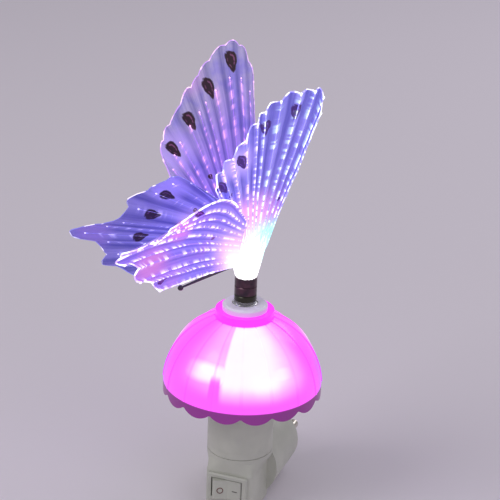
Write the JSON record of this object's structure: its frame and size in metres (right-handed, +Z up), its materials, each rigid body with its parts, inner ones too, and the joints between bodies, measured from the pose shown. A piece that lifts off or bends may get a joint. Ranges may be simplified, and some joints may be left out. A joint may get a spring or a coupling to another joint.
{
  "type": "plug-in fibre-optic night light",
  "caption": "Wall-plug night light with a rocker switch, a scalloped dome shade and a fabric butterfly lit by optical fibres on its crown.",
  "frame": {"origin": "middle of the plug's mating face", "axes": "+Z up along the neck, +Y out of the plug face into the wall, +X to the right seen from the front"},
  "size_m": [0.1111, 0.1417, 0.2305],
  "materials": {
    "white_plastic": "gloss, faint ivory-white",
    "pink_shade": "translucent magenta, gloss",
    "pale_plastic": "semi-gloss, translucent white",
    "dark_bronze": "dark bronze, gloss",
    "clear_glue": "clear",
    "fiber_strands": "clear optical strands, lit",
    "wing_fabric": "pleated lilac cloth",
    "black_plastic": "matt black",
    "switch_plastic": "satin white",
    "plated_metal": "nickel plated",
    "contact_metal": "plain",
    "steel": "zinc plated",
    "circuit_board": "green laminate",
    "film_capacitor": "dipped red-brown",
    "capacitor_can": "dark sleeve",
    "led_lens": "clear lens"
  },
  "bodies": {
    "lamp": {"front_housing": "white_plastic", "rear_housing": "white_plastic", "neck_tray": "white_plastic", "left_pin": "plated_metal", "right_pin": "plated_metal", "left_pin_sleeve": "black_plastic", "right_pin_sleeve": "black_plastic", "housing_screws": "steel", "shade": "pink_shade", "top_bush": "pale_plastic", "ferrule": "dark_bronze", "glue_ring": "clear_glue", "fiber_led": "led_lens", "fiber_led_board": "circuit_board", "fiber_bundle": "fiber_strands", "right_forewing": "wing_fabric", "right_hindwing": "wing_fabric", "left_forewing": "wing_fabric", "left_hindwing": "wing_fabric", "abdomen_stick": "black_plastic", "switch_body": "switch_plastic", "common_terminal": "contact_metal", "load_terminal": "contact_metal", "lamp_board": "circuit_board", "board_screws": "steel", "shade_leds": "led_lens", "supply_board": "circuit_board", "film_capacitor": "film_capacitor", "reservoir_capacitor": "capacitor_can", "bridge_rectifier": "black_plastic"},
    "rocker": {"rocker": "switch_plastic", "rocker_plunger": "contact_metal", "plunger_spring": "steel"},
    "contact": {"contact_bar": "contact_metal"}
  },
  "joints": [
    {"name": "rocker_tilt", "type": "hinge", "parent": "lamp", "child": "rocker", "pos_m": [0, -0.0574, -0.0014], "axis": [0, 0, -1], "range_deg": [0, 24]},
    {"name": "contact_rock", "type": "hinge", "parent": "lamp", "child": "contact", "pos_m": [0, -0.0503, -0.0014], "axis": [0, 0, -1], "range_deg": [-14, 0]}
  ],
  "couplings": [
    {"joint": "contact_rock", "follows": "rocker_tilt", "ratio": -0.58333}
  ]
}
